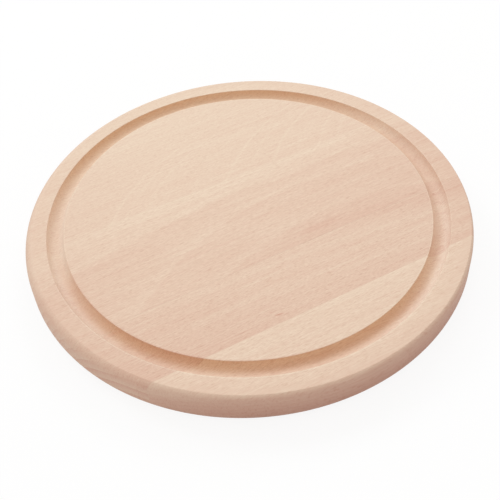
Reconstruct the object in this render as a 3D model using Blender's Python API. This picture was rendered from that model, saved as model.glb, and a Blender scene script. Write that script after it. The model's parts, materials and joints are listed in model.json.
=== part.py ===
"""Round beech cutting board: four staves glued edge to edge, turned round, with a juice groove.

Metres. +X runs along the grain, +Y across the staves towards the back stave, +Z up.
The origin is the centre of the underside.
"""

import math

import bmesh
import bpy

# Driving dimensions of the turned board
BOARD_RADIUS = 0.125
BOARD_THICKNESS = 0.020
TOP_EDGE_RADIUS = 0.006
TOP_EDGE_LIFT = 0.001  # how far the top edge's round was cut short, which leaves an arris
BOTTOM_EDGE_RADIUS = 0.006

# The juice groove, cut by a round-nosed cutter that follows the rim
GROOVE_INSET = 0.01725  # from the board's edge to the middle of the groove
GROOVE_CUTTER_RADIUS = 0.0048
GROOVE_DEPTH = 0.004
GROOVE_ARRIS_RADIUS = 0.0004  # the groove's two edges, eased by sanding

# Middles of the glue lines, across the grain from the board's centre
FRONT_JOINT_Y = -0.0789
MIDDLE_JOINT_Y = -0.0375
BACK_JOINT_Y = 0.0290
GLUE_THICKNESS = 0.0003

# What the rough glued-up planks stand proud of the turned board
PLANK_ALLOWANCE = 0.004

# Facets
TURN_STEPS = 144
EDGE_STEPS = 6
GROOVE_STEPS = 12
ARRIS_STEPS = 2
SHARP_ANGLE = math.radians(35)


def clear_scene():
    for old in list(bpy.data.objects):
        bpy.data.objects.remove(old, do_unlink=True)


def make_material(name, colour, roughness):
    material = bpy.data.materials.new(name)
    material.use_nodes = True
    shader = material.node_tree.nodes["Principled BSDF"]
    shader.inputs["Base Color"].default_value = (*colour, 1.0)
    shader.inputs["Roughness"].default_value = roughness
    shader.inputs["Metallic"].default_value = 0.0
    material.diffuse_color = (*colour, 1.0)
    return material


def arc(centre, radius, start, end, steps):
    """Points (r, z) on an arc from the angle start to end, both ends included."""
    points = []
    for step in range(steps + 1):
        angle = start + (end - start) * step / steps
        points.append(
            (centre[0] + radius * math.cos(angle), centre[1] + radius * math.sin(angle))
        )
    return points


def groove_profile():
    """The groove's section from its outer edge to its inner one, with both arrises eased."""
    middle = BOARD_RADIUS - GROOVE_INSET
    cutter = (middle, BOARD_THICKNESS - GROOVE_DEPTH + GROOVE_CUTTER_RADIUS)
    # An arris round touches the cutter's circle from outside, and the board's top from below.
    reach = GROOVE_CUTTER_RADIUS + GROOVE_ARRIS_RADIUS
    drop = reach - GROOVE_DEPTH
    spread = math.sqrt(reach**2 - drop**2)
    lean = math.atan2(drop, spread)
    arris_z = BOARD_THICKNESS - GROOVE_ARRIS_RADIUS
    outer_arris = arc(
        (middle + spread, arris_z), GROOVE_ARRIS_RADIUS, math.pi / 2, math.pi - lean, ARRIS_STEPS
    )
    floor = arc(cutter, GROOVE_CUTTER_RADIUS, -lean, lean - math.pi, GROOVE_STEPS)
    inner_arris = arc(
        (middle - spread, arris_z), GROOVE_ARRIS_RADIUS, lean, math.pi / 2, ARRIS_STEPS
    )
    return outer_arris + floor[1:-1] + inner_arris


def board_profile():
    """The board's section (r, z) from its underside round the edge to the cutting surface."""
    half = BOARD_THICKNESS / 2
    bottom = min(BOTTOM_EDGE_RADIUS, half)
    top = min(TOP_EDGE_RADIUS, half)
    bottom_edge = arc((BOARD_RADIUS - bottom, bottom), bottom, -math.pi / 2, 0, EDGE_STEPS)
    # The top's flat meets the round before the round has turned level.
    level = top - TOP_EDGE_LIFT
    top_edge = arc(
        (BOARD_RADIUS - top, BOARD_THICKNESS - level), top, 0, math.asin(level / top), EDGE_STEPS
    )
    return bottom_edge + top_edge + groove_profile()


def make_turned_form():
    """The finished board's outer form, as a hidden solid that each plank is turned down to."""
    profile = board_profile()
    bm = bmesh.new()
    rings = []
    for step in range(TURN_STEPS):
        turn = 2 * math.pi * step / TURN_STEPS
        ring = [bm.verts.new((r * math.cos(turn), r * math.sin(turn), z)) for r, z in profile]
        rings.append(ring)
    for ring, following in zip(rings, rings[1:] + rings[:1]):
        for low in range(len(profile) - 1):
            bm.faces.new((ring[low], following[low], following[low + 1], ring[low + 1]))
    bm.faces.new([ring[0] for ring in reversed(rings)])
    bm.faces.new([ring[-1] for ring in rings])
    mesh = bpy.data.meshes.new("turned_form")
    bm.to_mesh(mesh)
    bm.free()
    mesh.shade_smooth()
    mesh.set_sharp_from_angle(angle=SHARP_ANGLE)
    form = bpy.data.objects.new("turned_form", mesh)
    bpy.context.collection.objects.link(form)
    form.hide_render = True
    form.display_type = "WIRE"
    return form


def make_plank(name, front_y, back_y, material, form, parent):
    """A rough plank or glue film between two planes across the grain, turned down to the form."""
    half_length = BOARD_RADIUS + PLANK_ALLOWANCE
    bm = bmesh.new()
    bmesh.ops.create_cube(bm, size=1.0)
    for vert in bm.verts:
        vert.co.x = math.copysign(half_length, vert.co.x)
        vert.co.y = back_y if vert.co.y > 0 else front_y
        vert.co.z = BOARD_THICKNESS + PLANK_ALLOWANCE if vert.co.z > 0 else -PLANK_ALLOWANCE
    mesh = bpy.data.meshes.new(name)
    bm.to_mesh(mesh)
    bm.free()
    mesh.materials.append(material)
    plank = bpy.data.objects.new(name, mesh)
    bpy.context.collection.objects.link(plank)
    plank.parent = parent
    turning = plank.modifiers.new("Turning", "BOOLEAN")
    turning.operation = "INTERSECT"
    turning.solver = "EXACT"
    turning.object = form
    return plank


def make_board():
    board = bpy.data.objects.new("cutting_board", None)
    bpy.context.collection.objects.link(board)
    form = make_turned_form()
    form.parent = board

    pale_beech = make_material("pale_beech", (0.79, 0.62, 0.46), 0.62)
    warm_beech = make_material("warm_beech", (0.74, 0.54, 0.40), 0.62)
    blushed_beech = make_material("blushed_beech", (0.75, 0.56, 0.42), 0.62)
    light_beech = make_material("light_beech", (0.80, 0.64, 0.50), 0.62)
    glue = make_material("wood_glue", (0.62, 0.44, 0.31), 0.5)

    half_glue = GLUE_THICKNESS / 2
    front_edge = -BOARD_RADIUS - PLANK_ALLOWANCE
    back_edge = BOARD_RADIUS + PLANK_ALLOWANCE
    staves = (
        ("front_stave", front_edge, FRONT_JOINT_Y - half_glue, pale_beech),
        ("inner_front_stave", FRONT_JOINT_Y + half_glue, MIDDLE_JOINT_Y - half_glue, warm_beech),
        ("middle_stave", MIDDLE_JOINT_Y + half_glue, BACK_JOINT_Y - half_glue, blushed_beech),
        ("back_stave", BACK_JOINT_Y + half_glue, back_edge, light_beech),
    )
    for name, front_y, back_y, material in staves:
        make_plank(name, front_y, back_y, material, form, board)
    glue_lines = (
        ("front_glue_line", FRONT_JOINT_Y),
        ("middle_glue_line", MIDDLE_JOINT_Y),
        ("back_glue_line", BACK_JOINT_Y),
    )
    for name, middle_y in glue_lines:
        make_plank(name, middle_y - half_glue, middle_y + half_glue, glue, form, board)


clear_scene()
make_board()
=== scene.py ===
"""Round beech cutting board in soft studio light: four turned staves and the seams between them.

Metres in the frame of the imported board: +X along the grain, +Y towards the back stave, +Z up.
The wood's patterns are set out in millimetres from the middle of the board, and their tones run
from 0, the palest wood, to 1, the pinkest.
"""

import json
import math

import bmesh
import bpy
from mathutils import Matrix, Vector


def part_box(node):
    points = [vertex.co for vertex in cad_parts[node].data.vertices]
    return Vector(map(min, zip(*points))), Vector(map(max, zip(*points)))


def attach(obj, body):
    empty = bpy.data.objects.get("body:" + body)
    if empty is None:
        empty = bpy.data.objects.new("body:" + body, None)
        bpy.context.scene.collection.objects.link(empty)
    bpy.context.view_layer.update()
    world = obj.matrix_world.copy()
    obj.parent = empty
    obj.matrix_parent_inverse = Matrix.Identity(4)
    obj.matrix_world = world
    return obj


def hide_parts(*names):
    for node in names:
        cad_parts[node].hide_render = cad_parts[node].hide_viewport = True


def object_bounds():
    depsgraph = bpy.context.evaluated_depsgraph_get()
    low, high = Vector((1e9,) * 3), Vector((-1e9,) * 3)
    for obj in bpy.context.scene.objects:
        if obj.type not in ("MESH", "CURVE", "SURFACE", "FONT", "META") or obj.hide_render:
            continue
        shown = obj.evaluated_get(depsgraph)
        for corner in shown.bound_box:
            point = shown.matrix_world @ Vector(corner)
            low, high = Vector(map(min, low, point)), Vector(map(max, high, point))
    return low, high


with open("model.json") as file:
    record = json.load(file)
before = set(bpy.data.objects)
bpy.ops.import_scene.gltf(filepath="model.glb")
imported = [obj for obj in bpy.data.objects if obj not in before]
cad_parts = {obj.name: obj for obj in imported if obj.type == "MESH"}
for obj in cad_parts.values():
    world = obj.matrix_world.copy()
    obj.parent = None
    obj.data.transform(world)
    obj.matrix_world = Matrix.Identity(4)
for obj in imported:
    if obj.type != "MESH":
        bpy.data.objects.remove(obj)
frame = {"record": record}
cad_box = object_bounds()

# The board's section, as the solids have it
RADIUS = (cad_box[1].x - cad_box[0].x) / 2
THICKNESS = cad_box[1].z - cad_box[0].z
EDGE_RADIUS = 0.006
EDGE_LIFT = 0.001  # how far the top edge's round was cut short, on average
GROOVE_RADIUS = RADIUS - 0.01725
CUTTER_RADIUS = 0.0048
GROOVE_DEPTH = 0.004

# What sanding leaves: the top edge was cut short more on one side than on the other
ARRIS_RADIUS = 0.00028
LIFT_WANDER = 0.00095
WANDER_TOWARDS = math.radians(322)
EDGE_EASE = 0.00025

SUPPORT = 0.0003  # a narrow flat ring beside each round, which keeps the flat faces' shading flat
TURN_STEPS = 360
EDGE_STEPS = 14
EASE_STEPS = 3
GROOVE_STEPS = 28
ARRIS_STEPS = 5
SHARP_ANGLE = math.radians(40)
SEAM_WIDTH = 0.00012

MM = 1000.0


# Shapes


def arc(centre, radius, start, end, steps):
    points = []
    for step in range(steps + 1):
        angle = start + (end - start) * step / steps
        points.append(
            (centre[0] + radius * math.cos(angle), centre[1] + radius * math.sin(angle))
        )
    return points


def edge_section(turn):
    """The rounded edge (r, z) at an angle round the board, from the underside to the top."""
    quarter = math.pi / 2
    low = arc((RADIUS - EDGE_RADIUS, EDGE_RADIUS), EDGE_RADIUS, -quarter, 0, EDGE_STEPS)
    lift = EDGE_LIFT + LIFT_WANDER * math.cos(turn - WANDER_TOWARDS)
    reach = EDGE_RADIUS - EDGE_EASE
    rise = reach - lift
    spread = math.sqrt(reach**2 - rise**2)
    lean = math.atan2(rise, spread)
    centre = (RADIUS - EDGE_RADIUS, THICKNESS - EDGE_RADIUS + lift)
    high = arc(centre, EDGE_RADIUS, 0, lean, EDGE_STEPS)
    ease_at = (RADIUS - EDGE_RADIUS + spread, THICKNESS - EDGE_EASE)
    ease = arc(ease_at, EDGE_EASE, lean, quarter, EASE_STEPS)
    flat = [(ease[-1][0] - SUPPORT, THICKNESS)]
    return [(low[0][0] - SUPPORT, 0.0)] + low + high + ease[1:] + flat


def groove_section():
    """The groove (r, z) from the rim to the cutting surface, with both arrises eased."""
    quarter = math.pi / 2
    reach = CUTTER_RADIUS + ARRIS_RADIUS
    drop = reach - GROOVE_DEPTH
    spread = math.sqrt(reach**2 - drop**2)
    lean = math.atan2(drop, spread)
    arris_z = THICKNESS - ARRIS_RADIUS
    outer = arc(
        (GROOVE_RADIUS + spread, arris_z), ARRIS_RADIUS, quarter, math.pi - lean, ARRIS_STEPS
    )
    inner = arc((GROOVE_RADIUS - spread, arris_z), ARRIS_RADIUS, lean, quarter, ARRIS_STEPS)
    cutter = (GROOVE_RADIUS, THICKNESS - GROOVE_DEPTH + CUTTER_RADIUS)
    floor = arc(cutter, CUTTER_RADIUS, -lean, lean - math.pi, GROOVE_STEPS)
    rim = [(outer[0][0] + SUPPORT, THICKNESS)]
    return rim + outer + floor[1:-1] + inner + [(inner[-1][0] - SUPPORT, THICKNESS)]


def turned_board():
    """The whole board as one closed mesh, from which the staves and the seams are cut."""
    groove = groove_section()
    bm = bmesh.new()
    rings = []
    for step in range(TURN_STEPS):
        turn = 2 * math.pi * (step + 0.5) / TURN_STEPS
        profile = edge_section(turn) + groove
        ring = [bm.verts.new((r * math.cos(turn), r * math.sin(turn), z)) for r, z in profile]
        rings.append(ring)
    for ring, following in zip(rings, rings[1:] + rings[:1]):
        for low in range(len(ring) - 1):
            bm.faces.new((ring[low], following[low], following[low + 1], ring[low + 1]))
    bm.faces.new([ring[0] for ring in reversed(rings)])
    bm.faces.new([ring[-1] for ring in rings])
    return bm


def cut_square(bm, y, keep_above):
    """Cuts the mesh by a plane across the grain, keeps one side and closes it."""
    cut = bmesh.ops.bisect_plane(
        bm,
        geom=bm.verts[:] + bm.edges[:] + bm.faces[:],
        plane_co=(0, y, 0),
        plane_no=(0, 1, 0),
        clear_inner=keep_above,
        clear_outer=not keep_above,
    )
    edges = [item for item in cut["geom_cut"] if isinstance(item, bmesh.types.BMEdge)]
    bmesh.ops.edgeloop_fill(bm, edges=edges)


def make_slice(name, board, front_y, back_y, material, node):
    """The part of the board between two planes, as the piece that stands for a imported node."""
    bm = board.copy()
    if front_y is not None:
        cut_square(bm, front_y, True)
    if back_y is not None:
        cut_square(bm, back_y, False)
    bmesh.ops.recalc_face_normals(bm, faces=bm.faces[:])
    mesh = bpy.data.meshes.new(name)
    bm.to_mesh(mesh)
    bm.free()
    mesh.materials.append(material)
    mesh.shade_smooth()
    mesh.set_sharp_from_angle(angle=SHARP_ANGLE)
    piece = bpy.data.objects.new(name, mesh)
    bpy.context.collection.objects.link(piece)
    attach(piece, "root")
    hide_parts(node)
    return piece


# Materials


class Nodes:
    """Short calls that build one material's nodes."""

    def __init__(self, tree):
        self.tree = tree
        tree.nodes.clear()

    def add(self, kind, **settings):
        node = self.tree.nodes.new(kind)
        for key, value in settings.items():
            setattr(node, key, value)
        return node

    def feed(self, socket, value):
        if isinstance(value, bpy.types.NodeSocket):
            self.tree.links.new(value, socket)
        else:
            socket.default_value = value

    def math(self, operation, *values, clamp=False):
        node = self.add("ShaderNodeMath", operation=operation, use_clamp=clamp)
        for socket, value in zip(node.inputs, values):
            self.feed(socket, value)
        return node.outputs[0]

    def vector(self, operation, *values):
        node = self.add("ShaderNodeVectorMath", operation=operation)
        for socket, value in zip(node.inputs, values):
            self.feed(socket, value)
        return node.outputs["Value" if operation in ("LENGTH", "DOT_PRODUCT") else "Vector"]

    def total(self, *values):
        result = values[0]
        for value in values[1:]:
            result = self.math("ADD", result, value)
        return result

    def times(self, *values):
        result = values[0]
        for value in values[1:]:
            result = self.math("MULTIPLY", result, value)
        return result

    def less(self, a, b):
        return self.math("SUBTRACT", a, b)

    def ease(self, value, low, high, to_low=0.0, to_high=1.0):
        node = self.add("ShaderNodeMapRange", interpolation_type="SMOOTHSTEP")
        for key, item in zip(
            ("Value", "From Min", "From Max", "To Min", "To Max"),
            (value, low, high, to_low, to_high),
        ):
            self.feed(node.inputs[key], item)
        return node.outputs["Result"]

    def noise(self, point, lengths, offset, detail=2.0, roughness=0.5):
        """Noise about zero, whose features are as long as lengths (mm) along each axis."""
        moved = self.vector("ADD", point, offset)
        scaled = self.vector("MULTIPLY", moved, tuple(1 / length for length in lengths))
        node = self.add("ShaderNodeTexNoise")
        self.feed(node.inputs["Vector"], scaled)
        node.inputs["Scale"].default_value = 1.0
        node.inputs["Detail"].default_value = detail
        node.inputs["Roughness"].default_value = roughness
        return self.math("SUBTRACT", node.outputs[0], 0.5)

    def tones(self, value, stops):
        """A tone read from (value, tone) stops, with straight runs between them."""
        first, last = stops[0][0], stops[-1][0]
        ramp = self.add("ShaderNodeValToRGB")
        elements = ramp.color_ramp.elements
        while len(elements) < len(stops):
            elements.new(0.5)
        for element, (at, tone) in zip(elements, stops):
            element.position = (at - first) / (last - first)
            element.color = (tone, tone, tone, 1.0)
        share = self.math("DIVIDE", self.math("SUBTRACT", value, first), last - first)
        self.feed(ramp.inputs["Fac"], share)
        return ramp.outputs["Color"]

    def line(self, offset, width):
        """One along a line and zero away from it, where offset is the distance from the line."""
        return self.ease(self.math("ABSOLUTE", offset), width * 0.25, width, 1.0, 0.0)

    def mix(self, factor, a, b):
        node = self.add("ShaderNodeMix", data_type="RGBA", clamp_factor=False)
        self.feed(node.inputs[0], factor)
        self.feed(node.inputs[6], a)
        self.feed(node.inputs[7], b)
        return node.outputs[2]

    def tint(self, factor, colour, by):
        node = self.add(
            "ShaderNodeMix", data_type="RGBA", blend_type="MULTIPLY", clamp_factor=False
        )
        self.feed(node.inputs[0], factor)
        self.feed(node.inputs[6], colour)
        self.feed(node.inputs[7], by)
        return node.outputs[2]


# Bare beech from its palest early wood to its pinkest late wood
PALE_WOOD = (0.842, 0.67, 0.518, 1.0)
PINK_WOOD = (0.748, 0.51, 0.388, 1.0)

# Pores and rays darken the wood without making it pinker
FLECK = (0.42, 0.17, 0.0, 1.0)

# Painted shade: tints that make the groove's walls and the board's edge deeper in colour than the
# sanded faces where they lie in shade; the groove's tint, taken away, also paints light that
# pales some walls
GROOVE_SHADE_TINT = (0.90, 0.74, 0.60, 1.0)
EDGE_SHADE_TINT = (0.73, 0.60, 0.60, 1.0)

# Distances from the board's middle between which each zone fades in or out
INNER_WALL = (104.0, 111.2)
INNER_WALL_TOP = (103.0, 107.5)
OUTER_WALL = (106.0, 112.0)
BOARD_EDGE = (117.5, 119.5)
SANDED_FACE = (118.5, 120.5)

# Where round the groove painted shade darkens the inner and the outer wall, and where painted
# light leaves them pale, as (angle, cosine at which it sets in, cosine at which it is full,
# strength)
INNER_WALL_SHADE = (247.0, 0.1, 0.85, 1.0)
OUTER_WALL_SHADE = (265.0, 0.2, 0.9, 1.0)
INNER_WALL_LIGHT = (152.0, 0.86, 1.0, 0.60)
OUTER_WALL_LIGHT_RIGHT = (308.0, 0.75, 1.0, 0.45)
OUTER_WALL_LIGHT_LEFT = (188.0, 0.90, 1.0, 0.40)

# Painted highlights and shade on the groove's arrises: how far each lies from the groove's
# middle, its width, and where the inner one is pinker with painted shade, written as above
OUTER_ARRIS_HIGHLIGHT = (5.1, 0.45)
INNER_ARRIS_SHADE_AND_HIGHLIGHT = (5.0, 0.6)
ARRIS_SHADE_SIDE = (225.0, 0.4, 0.85, 1.0)

# Growth rings, as (pith's y, its depth below the top, distance between rings)
HEART_RINGS = (-75.0, 51.0, 5.45)
BACK_RINGS = (75.0, 110.0, 3.1)
FRONT_RINGS = (-125.0, 120.0, 2.9)

# The middle stave's growth rings show as nested arches: y = top - bow * away^2, where bow
# grows by steeper for each mm away from the arch's middle
ARCHES = (
    # top, middle x, bow, steeper
    (-21.5, 40.0, 0.0031, 0.0),
    (4.3, 38.0, 0.0015, 0.0000118),
    (17.2, 20.0, 0.00075, 0.0),
)
ARCHES_END = 29.0
HEART_DEPTH = 15.0  # from the innermost arch to where the tone below it reaches -1
ARCH_TONES = (
    # arch passed, tone: below 0 inside the innermost arch, 3 at the back joint
    (-1.2, 0.84),
    (-0.6, 0.75),
    (-0.08, 0.67),
    (0.04, 0.46),
    (0.2, 0.50),
    (0.97, 0.52),
    (1.03, 0.30),
    (1.2, 0.37),
    (1.5, 0.43),
    (1.9, 0.46),
    (1.98, 0.36),
    (2.03, 0.19),
    (2.4, 0.23),
    (2.65, 0.11),
    (3.0, 0.08),
)
DARK_PATCH = (29.0, -30.6)
DARK_PATCH_SIZE = (15.0, 3.6)

# Streaks of the inner front stave, as (y where they cross STREAK_START, tone)
STREAK_START = -80.0
STREAK_BEND = 0.0005
STREAK_TONES = (
    (-79.0, 0.70),
    (-66.0, 0.67),
    (-62.0, 0.64),
    (-59.0, 0.54),
    (-57.5, 0.42),
    (-55.0, 0.55),
    (-51.0, 0.61),
    (-49.0, 0.54),
    (-47.0, 0.45),
    (-45.0, 0.58),
    (-42.0, 0.52),
    (-39.5, 0.37),
    (-37.0, 0.51),
    (-33.0, 0.59),
    (-28.0, 0.74),
)

# Dark pores of the inner front stave, as (x, y, slope, length, strength)
DASHES = (
    (-21.4, -73.7, -0.15, 5.6, 0.90),
    (-24.3, -70.7, -0.10, 1.8, 0.50),
    (-15.0, -51.6, -0.05, 4.0, 0.35),
    (-83.0, -74.4, 0.0, 7.0, 0.30),
)
DASH_WIDTH = 0.45

# The front stave's tones by y
FRONT_TONES = (
    (-125.0, 0.55),
    (-119.0, 0.43),
    (-110.0, 0.31),
    (-97.0, 0.29),
    (-94.0, 0.36),
    (-91.0, 0.27),
    (-89.0, 0.33),
    (-87.0, 0.23),
    (-83.0, 0.21),
    (-80.5, 0.13),
    (-78.5, 0.12),
)

# The back stave's half arches, as (x where a pale line meets the back joint, strength)
HALF_ARCHES = (
    (-71.0, 0.16),
    (-62.0, 0.10),
    (-49.0, 0.11),
    (-20.0, 0.07),
    (2.0, 0.16),
    (16.0, 0.10),
    (33.0, 0.20),
    (49.0, 0.08),
    (65.0, 0.11),
    (78.0, 0.11),
)
HALF_ARCH_SPAN = (-130.0, 130.0)
HALF_ARCHES_START = 29.0
HALF_ARCHES_LEAN = 0.92
HALF_ARCH_TONE = 0.21  # between the lines
BACK_TONES = ((28.0, 0.20), (45.0, 0.17), (75.0, 0.15), (88.0, 0.09), (125.0, 0.07))


def grown(n, y, depth, rings):
    """Where the growth ring through a point meets the top face (y), and the rings' own lines.

    The rings are arcs round the pith, which lies below the board.
    """
    pith, below, spacing = rings
    over = n.less(y, pith)
    fall = n.less(n.times(depth, depth), n.times(depth, 2.0 * below))
    reach = n.math("SQRT", n.math("MAXIMUM", n.total(n.times(over, over), fall), 0.0))
    meets = n.total(n.times(n.math("SIGN", over), reach), pith)
    radius = n.math("SQRT", n.total(n.times(over, over), fall, below**2))
    late = n.math("POWER", n.math("FRACT", n.times(radius, 1 / spacing)), 2.0)
    return meets, n.less(late, 0.33)


def middle_tone(n, x, y, depth, wobble, shown):
    """Nested arches with a dark patch inside the innermost one."""
    across, rings = grown(n, n.total(y, n.times(wobble, 3.0)), depth, HEART_RINGS)
    rings = n.times(rings, shown, 0.60)
    bounds = []
    for top, middle, bow, steeper in ARCHES:
        away = n.less(x, middle)
        growing = n.total(n.times(n.math("ABSOLUTE", away), steeper), bow)
        bounds.append(n.less(top, n.times(away, away, growing)))
    bounds.append(ARCHES_END)
    level = n.math("MINIMUM", n.times(n.less(across, bounds[0]), 1 / HEART_DEPTH), 0.0)
    for low, high in zip(bounds, bounds[1:]):
        share = n.math("DIVIDE", n.less(across, low), n.less(high, low), clamp=True)
        level = n.math("ADD", level, share)
    patch_x = n.times(n.less(x, DARK_PATCH[0]), 1 / DARK_PATCH_SIZE[0])
    patch_y = n.times(n.less(across, DARK_PATCH[1]), 1 / DARK_PATCH_SIZE[1])
    off = n.total(n.times(patch_x, patch_x), n.times(patch_y, patch_y))
    return n.total(n.tones(level, ARCH_TONES), n.ease(off, 0.0, 1.2, 0.26, 0.0), rings)


def inner_front_tone(n, x, y, depth, wobble, shown):
    """Nearly straight streaks that bend slightly, darkest beside the front joint."""
    along = n.total(x, -STREAK_START)
    bent = n.total(y, n.times(along, along, STREAK_BEND), n.times(wobble, 2.0))
    bent, rings = grown(n, bent, depth, HEART_RINGS)
    rings = n.times(rings, shown, 0.90)
    dark_edge = n.ease(y, -75.0, -73.8, 0.06, 0.0)
    pale_wall = n.ease(depth, 1.0, 4.0, 0.0, -0.08)
    tone = n.total(n.tones(bent, STREAK_TONES), dark_edge, rings, pale_wall)
    for at_x, at_y, slope, length, strength in DASHES:
        away = n.less(x, at_x)
        beside = n.less(n.less(y, at_y), n.times(away, slope))
        across = n.times(beside, beside, 1 / DASH_WIDTH**2)
        off = n.total(n.times(away, away, 4 / length**2), across, n.times(depth, 0.7))
        tone = n.total(tone, n.ease(off, 0.3, 1.2, strength, 0.0))
    return tone


def back_tone(n, x, y, depth, wobble, shown):
    """Fine pale half arches that rise from the back joint towards +X."""
    rings = grown(n, n.total(y, n.times(wobble, 3.0)), depth, BACK_RINGS)[1]
    rings = n.times(rings, shown, 0.45)
    over = n.less(y, HALF_ARCHES_START)
    lean = n.total(over, n.times(over, over, over, 0.0004))
    foot = n.total(x, n.times(lean, -HALF_ARCHES_LEAN), n.times(wobble, 5.0), depth)
    stops = [(HALF_ARCH_SPAN[0], 0.22)]
    for at, strength in HALF_ARCHES:
        stops += [(at - 2.2, 0.24), (at, 0.22 - strength), (at + 1.4, HALF_ARCH_TONE)]
    stops.append((HALF_ARCH_SPAN[1], HALF_ARCH_TONE))
    fading = n.ease(y, 66.0, 84.0, 1.4, 0.3)
    arcs = n.times(n.less(n.tones(foot, stops), HALF_ARCH_TONE), fading)
    return n.total(n.tones(y, BACK_TONES), arcs, rings)


def front_tone(n, x, y, depth, wobble, shown):
    """Faint straight streaks, and low wide arches where the wall cuts the rings."""
    across = n.total(y, n.times(x, -0.01), n.times(wobble, 2.0))
    across, rings = grown(n, across, depth, FRONT_RINGS)
    rings = n.times(rings, shown, 0.25)
    return n.total(n.tones(across, FRONT_TONES), n.ease(depth, 2.0, 8.0, 0.0, 0.25), rings)


def towards(n, point, outward, place, both=False):
    """How far a point lies towards one side of the board, or towards that and its opposite.

    The side is an angle round the board in degrees, and low and high are cosines of the angle
    between it and the point.
    """
    angle, low, high, strength = place
    side = (math.cos(math.radians(angle)), math.sin(math.radians(angle)), 0.0)
    share = n.math("DIVIDE", n.vector("DOT_PRODUCT", point, side), outward)
    if both:
        share = n.math("ABSOLUTE", share)
    return n.ease(share, low, high, 0.0, strength)


def turned(n, point, y, depth, outward, colour):
    """Painted shade as a deeper colour on the groove's walls and on the board's edge, less
    painted light that pales some groove walls.
    """
    edge = n.ease(outward, *BOARD_EDGE)
    inner = n.ease(outward, *INNER_WALL, 1.0, 0.0)
    outer = n.ease(outward, *OUTER_WALL)
    # Painted shade on both sides of the inner wall across the grain, but only on the outer wall's
    # back
    painted_groove_shading = n.times(inner, n.ease(y, -60.0, 60.0, 1.0, 0.8))
    painted_groove_shading = n.times(painted_groove_shading, towards(n, point, outward, INNER_WALL_SHADE, both=True))
    back = n.times(outer, n.ease(y, -60.0, 60.0))
    back = n.times(back, towards(n, point, outward, OUTER_WALL_SHADE, both=True))
    # Painted light: the inner wall's top at one side and the outer wall at two places are made
    # paler
    pale = n.ease(outward, *INNER_WALL_TOP, 1.0, 0.0)
    pale = n.times(pale, towards(n, point, outward, INNER_WALL_LIGHT))
    pale_right = n.times(outer, towards(n, point, outward, OUTER_WALL_LIGHT_RIGHT))
    pale_left = n.times(outer, towards(n, point, outward, OUTER_WALL_LIGHT_LEFT))
    painted_groove_shading = n.less(n.total(painted_groove_shading, back), n.total(pale, pale_right, pale_left))
    below_rim = n.ease(depth, 0.0, 0.4)
    above_floor = n.ease(depth, 4.5, 5.0, 1.0, 0.0)
    groove = n.times(below_rim, above_floor, n.less(1.0, edge))
    colour = n.tint(n.times(groove, painted_groove_shading), colour, GROOVE_SHADE_TINT)
    # Painted shade: the edge is deepest low down, towards the floor, and where it runs along the
    # grain, at the front and the back
    lower = n.ease(depth, 5.0, 16.0, 0.70, 1.0)
    run = n.math("DIVIDE", n.math("ABSOLUTE", y), outward)
    edge = n.times(edge, n.ease(depth, -0.6, 2.5), lower, n.ease(run, 0.5, 0.95, 0.28, 1.0))
    return n.tint(edge, colour, EDGE_SHADE_TINT)


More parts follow.
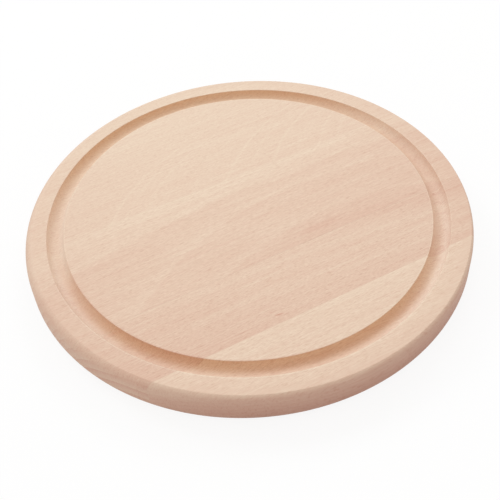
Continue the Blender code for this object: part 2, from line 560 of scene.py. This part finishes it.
def make_wood(name, pattern, lines, offset, strengths):
    material = bpy.data.materials.new(name)
    material.use_nodes = True
    n = Nodes(material.node_tree)
    place = n.add("ShaderNodeTexCoord").outputs["Object"]
    point = n.vector("MULTIPLY", place, (MM, MM, MM))
    split = n.add("ShaderNodeSeparateXYZ")
    n.feed(split.inputs[0], point)
    x, y, z = split.outputs
    depth = n.less(THICKNESS * MM, z)
    wobble = n.noise(point, (60.0, 24.0, 24.0), offset, 2.0)
    outward = n.vector("LENGTH", n.vector("MULTIPLY", point, (1.0, 1.0, 0.0)))
    # The rings' late wood shows on the rounds and the wall, and faintly in the groove
    shown = n.times(n.ease(depth, 0.5, 6.0), n.ease(outward, 113.0, 118.0, 0.45, 1.0))
    tone = pattern(n, x, y, depth, wobble, shown)

    # Hairlines, broken up along the grain
    broken = n.ease(n.noise(point, (26.0, 9.0, 9.0), offset, 2.0), -0.2, 0.15, 0.3, 1.0)
    for at, slope, width, strength in lines:
        away = n.less(y, n.total(n.times(x, slope), at))
        tone = n.total(tone, n.times(n.line(away, width), broken, strength))

    # The colour turns a little pinker towards both ends of the staves
    along = n.less(x, 5.0)
    tone = n.total(tone, n.times(along, along, 0.00002))

    # Painted highlight makes the groove's outer arris paler at the front; on its inner one
    # painted shade makes it pinker at the front left and painted highlight makes it paler
    # elsewhere
    across = n.less(outward, GROOVE_RADIUS * MM)
    outer = n.times(n.ease(x, 20.0, 90.0, 1.0, 0.3), n.ease(y, -50.0, 30.0, -0.45, 0.0))
    outer = n.times(n.line(n.less(across, OUTER_ARRIS_HIGHLIGHT[0]), OUTER_ARRIS_HIGHLIGHT[1]), outer)
    inner = n.less(n.times(towards(n, point, outward, ARRIS_SHADE_SIDE), 0.55), 0.27)
    inner = n.times(n.line(n.total(across, INNER_ARRIS_SHADE_AND_HIGHLIGHT[0]), INNER_ARRIS_SHADE_AND_HIGHLIGHT[1]), inner)
    tone = n.total(tone, n.times(n.total(outer, inner), n.ease(depth, 0.5, 1.0, 1.0, 0.0)))

    # Streaks, fibres, short pores, stains, ray flecks and grit, all drawn out along the grain
    *grain, rayed, gritty = strengths
    streaks = n.noise(point, (60.0, 2.2, 2.2), offset, 2.0)
    fibres = n.noise(point, (40.0, 0.7, 0.7), offset, 3.0, 0.6)
    short = n.noise(point, (8.0, 0.5, 0.5), offset, 2.0)
    stains = n.noise(point, (40.0, 12.0, 12.0), offset, 2.0)
    for part, strength in zip((streaks, fibres, short, stains), grain):
        tone = n.total(tone, n.times(part, strength))
    rays = n.noise(point, (4.2, 0.4, 2.0), offset, 1.0)
    ray = n.ease(rays, 0.05, 0.22)
    tone = n.total(tone, n.times(ray, rayed, 0.4))
    colour = n.mix(tone, PALE_WOOD, PINK_WOOD)
    grit = n.noise(point, (1.8, 0.32, 0.32), offset, 1.0)
    sanded = n.ease(outward, *SANDED_FACE, 0.31, 0.12)
    fleck = n.total(n.times(ray, rayed, 0.6), n.times(grit, gritty))
    colour = n.tint(n.times(fleck, sanded), colour, FLECK)
    # Painted shade and painted light on the groove's walls and the edge
    colour = turned(n, point, y, depth, outward, colour)

    shader = n.add("ShaderNodeBsdfPrincipled")
    n.feed(shader.inputs["Base Color"], colour)
    n.feed(shader.inputs["Roughness"], n.total(n.times(fibres, 0.3), 0.62))
    shader.inputs["Specular IOR Level"].default_value = 0.35
    bump = n.add("ShaderNodeBump")
    bump.inputs["Strength"].default_value = 0.35
    bump.inputs["Distance"].default_value = 0.00006
    n.feed(bump.inputs["Height"], n.less(fibres, n.times(ray, 0.4)))
    n.feed(shader.inputs["Normal"], bump.outputs[0])
    out = n.add("ShaderNodeOutputMaterial")
    n.feed(out.inputs["Surface"], shader.outputs[0])
    return material


def make_glue(name, colour):
    material = bpy.data.materials.new(name)
    material.use_nodes = True
    n = Nodes(material.node_tree)
    place = n.add("ShaderNodeTexCoord").outputs["Object"]
    point = n.vector("MULTIPLY", place, (MM, MM, MM))
    patches = n.noise(point, (9.0, 1.0, 2.0), (3.0, 5.0, 7.0), 2.0)
    shade = n.times(n.total(patches, 0.2), 0.8)
    split = n.add("ShaderNodeSeparateXYZ")
    n.feed(split.inputs[0], point)
    depth = n.less(THICKNESS * MM, split.outputs[2])
    outward = n.vector("LENGTH", n.vector("MULTIPLY", point, (1.0, 1.0, 0.0)))
    colour = n.mix(shade, colour, PALE_WOOD)
    # The same painted shade and painted light on the groove's walls and the edge as on the staves
    colour = turned(n, point, split.outputs[1], depth, outward, colour)
    shader = n.add("ShaderNodeBsdfPrincipled")
    n.feed(shader.inputs["Base Color"], colour)
    n.feed(shader.inputs["Roughness"], n.total(n.times(patches, 0.2), 0.5))
    out = n.add("ShaderNodeOutputMaterial")
    n.feed(out.inputs["Surface"], shader.outputs[0])
    return material


# Staves from front to back, as (node, pattern, hairlines, where its noise is read, strengths of
# the streaks, fibres, pores, stains, rays and grit). A hairline is (y at the middle, slope,
# width, strength).
STAVES = (
    ("front_stave", front_tone, (), (0.0, 0.0, 0.0), (0.25, 1.00, 0.60, 0.12, 0.65, 1.40)),
    (
        "inner_front_stave",
        inner_front_tone,
        (
            (-38.2, 0.0, 0.4, -0.24),
            (-42.9, 0.012, 0.5, -0.16),
            (-61.1, 0.0, 0.4, -0.16),
            (-62.2, 0.0, 0.4, 0.14),
            (-63.3, 0.0, 0.4, -0.14),
            (-68.1, 0.0, 0.4, -0.13),
            (-73.6, 0.0, 0.4, -0.14),
            (-74.6, 0.0, 0.4, 0.18),
        ),
        (310.0, 50.0, 20.0),
        (0.38, 1.00, 0.75, 0.18, 0.70, 1.70),
    ),
    (
        "middle_stave",
        middle_tone,
        ((-36.6, 0.0, 0.45, 0.26), (27.6, -0.032, 0.6, -0.26)),
        (620.0, 110.0, 40.0),
        (0.38, 0.90, 0.65, 0.18, 0.55, 1.40),
    ),
    (
        "back_stave",
        back_tone,
        ((27.6, -0.032, 0.6, -0.26),),
        (930.0, 170.0, 60.0),
        (0.32, 0.95, 0.85, 0.15, 0.50, 1.45),
    ),
)
# Seams from front to back, as (node, colour)
SEAMS = (
    ("front_glue_line", (0.76, 0.58, 0.43, 1.0)),
    ("middle_glue_line", (0.62, 0.44, 0.32, 1.0)),
    ("back_glue_line", (0.80, 0.64, 0.49, 1.0)),
)


def make_board():
    slots = {row["node"]: row["material_slot"] for row in frame["record"]["subparts"]}
    joints = []
    for node, _ in SEAMS:
        low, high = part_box(node)
        joints.append((low.y + high.y) / 2)
    half = SEAM_WIDTH / 2
    edges = [None] + joints + [None]
    board = turned_board()
    for (node, pattern, lines, offset, strengths), front, back in zip(STAVES, edges, edges[1:]):
        material = make_wood(slots[node] + "_wood", pattern, lines, offset, strengths)
        make_slice(
            node + "_wood",
            board,
            None if front is None else front + half,
            None if back is None else back - half,
            material,
            node,
        )
    for (node, colour), joint in zip(SEAMS, joints):
        material = make_glue(node + "_set", colour)
        make_slice(
            node + "_seam", board, joint - half, joint + half, material, node
        )
    board.free()


# Floor, light and camera

FLOOR_SIZE = 6.0
FLOOR_COLOUR = (0.80, 0.80, 0.80, 1.0)
FLOOR_SHOWN = 0.12  # how much of the floor's own light and shade the camera sees over plain white
FLOOR_FADE = (0.2, 1.0)  # from where to where that share fades out, from the board's middle
FLOOR_BELOW = 0.0001  # keeps the floor clear of the underside

VIEW_AZIMUTH = math.radians(25.6)
VIEW_ELEVATION = math.radians(46.83)
VIEW_ROLL = math.radians(3.85)
VIEW_AIM = (-0.0010, 0.1754)  # where the board's middle lies off the view's axis, in radii
VIEW_DISTANCE = 3.911  # in radii
LENS_PIXELS = 870.0
IMAGE_PIXELS = 500.0
SENSOR_WIDTH = 36.0

WORLD_STRENGTH = 0.76
WORLD_COLOUR = (1.0, 0.95, 0.91, 1.0)
LAMP_COLOUR = (0.83, 0.93, 1.0)
# Lamps as (name, azimuth and elevation in degrees, distance, size, watts)
LAMPS = (
    ("back_right", 50.0, 40.0, 3.2, 1.2, 18.5),
    ("back_left", 110.0, 40.0, 3.2, 1.2, 25.0),
)


def seen_directly(n):
    """One where the camera sees a surface itself, or in a reflection or through glass."""
    path = n.add("ShaderNodeLightPath").outputs
    seen = n.math("MAXIMUM", path["Is Camera Ray"], path["Is Glossy Ray"])
    return n.math("MAXIMUM", seen, path["Is Transmission Ray"])


def make_floor():
    bm = bmesh.new()
    bmesh.ops.create_grid(bm, x_segments=1, y_segments=1, size=FLOOR_SIZE / 2)
    mesh = bpy.data.meshes.new("floor")
    bm.to_mesh(mesh)
    bm.free()
    floor = bpy.data.objects.new("floor", mesh)
    bpy.context.collection.objects.link(floor)
    material = bpy.data.materials.new("studio_floor")
    material.use_nodes = True
    n = Nodes(material.node_tree)
    seen = seen_directly(n)
    paper = n.add("ShaderNodeBsdfDiffuse")
    n.feed(paper.inputs["Color"], n.mix(seen, FLOOR_COLOUR, (1.0, 1.0, 1.0, 1.0)))
    white = n.add("ShaderNodeEmission")
    shown = n.add("ShaderNodeMixShader")
    away = n.vector("LENGTH", n.add("ShaderNodeTexCoord").outputs["Object"])
    plain = n.ease(away, *FLOOR_FADE, 1.0 - FLOOR_SHOWN, 1.0)
    n.feed(shown.inputs[0], n.times(seen, plain))
    n.feed(shown.inputs[1], paper.outputs[0])
    n.feed(shown.inputs[2], white.outputs[0])
    out = n.add("ShaderNodeOutputMaterial")
    n.feed(out.inputs["Surface"], shown.outputs[0])
    mesh.materials.append(material)
    floor.location.z = -FLOOR_BELOW


def make_world():
    world = bpy.data.worlds.new("studio")
    world.use_nodes = True
    bpy.context.scene.world = world
    n = Nodes(world.node_tree)
    light = n.add("ShaderNodeBackground")
    light.inputs["Strength"].default_value = WORLD_STRENGTH
    light.inputs["Color"].default_value = WORLD_COLOUR
    white = n.add("ShaderNodeBackground")
    white.inputs["Strength"].default_value = 1.0
    white.inputs["Color"].default_value = (1.0, 1.0, 1.0, 1.0)
    shown = n.add("ShaderNodeMixShader")
    n.feed(shown.inputs[0], seen_directly(n))
    n.feed(shown.inputs[1], light.outputs[0])
    n.feed(shown.inputs[2], white.outputs[0])
    out = n.add("ShaderNodeOutputWorld")
    n.feed(out.inputs["Surface"], shown.outputs[0])


def make_lamps():
    for name, azimuth, elevation, distance, size, watts in LAMPS:
        a, e = math.radians(azimuth), math.radians(elevation)
        way = Vector((math.cos(a) * math.cos(e), math.sin(a) * math.cos(e), math.sin(e)))
        lamp = bpy.data.lights.new(name, "AREA")
        lamp.shape = "DISK"
        lamp.size = size
        lamp.energy = watts
        lamp.color = LAMP_COLOUR
        holder = bpy.data.objects.new(name, lamp)
        bpy.context.collection.objects.link(holder)
        holder.location = way * distance
        holder.rotation_mode = "QUATERNION"
        holder.rotation_quaternion = way.to_track_quat("Z", "Y")
        holder.visible_camera = False


def make_camera():
    a, e, r = VIEW_AZIMUTH, VIEW_ELEVATION, VIEW_ROLL
    right = Vector((math.cos(a), -math.sin(a), 0.0))
    up = Vector((math.sin(a) * math.sin(e), math.cos(a) * math.sin(e), math.cos(e)))
    back = Vector((-math.sin(a) * math.cos(e), -math.cos(a) * math.cos(e), math.sin(e)))
    camera = bpy.data.cameras.new("camera")
    camera.sensor_width = SENSOR_WIDTH
    camera.lens = SENSOR_WIDTH * LENS_PIXELS / IMAGE_PIXELS
    camera.clip_start = 0.01
    camera.clip_end = 50.0
    holder = bpy.data.objects.new("camera", camera)
    bpy.context.collection.objects.link(holder)
    along_x = math.cos(r) * right - math.sin(r) * up
    along_y = math.sin(r) * right + math.cos(r) * up
    turn = [[along_x[i], along_y[i], back[i]] for i in range(3)]
    middle = Vector((0.0, 0.0, THICKNESS))
    off = VIEW_DISTANCE * back - VIEW_AIM[0] * right - VIEW_AIM[1] * up
    holder.location = middle + RADIUS * off
    holder.rotation_mode = "QUATERNION"
    holder.rotation_quaternion = Matrix(turn).to_quaternion()
    bpy.context.scene.camera = holder


make_board()
make_floor()
make_world()
make_lamps()
make_camera()
bpy.context.scene.view_settings.view_transform = "Standard"
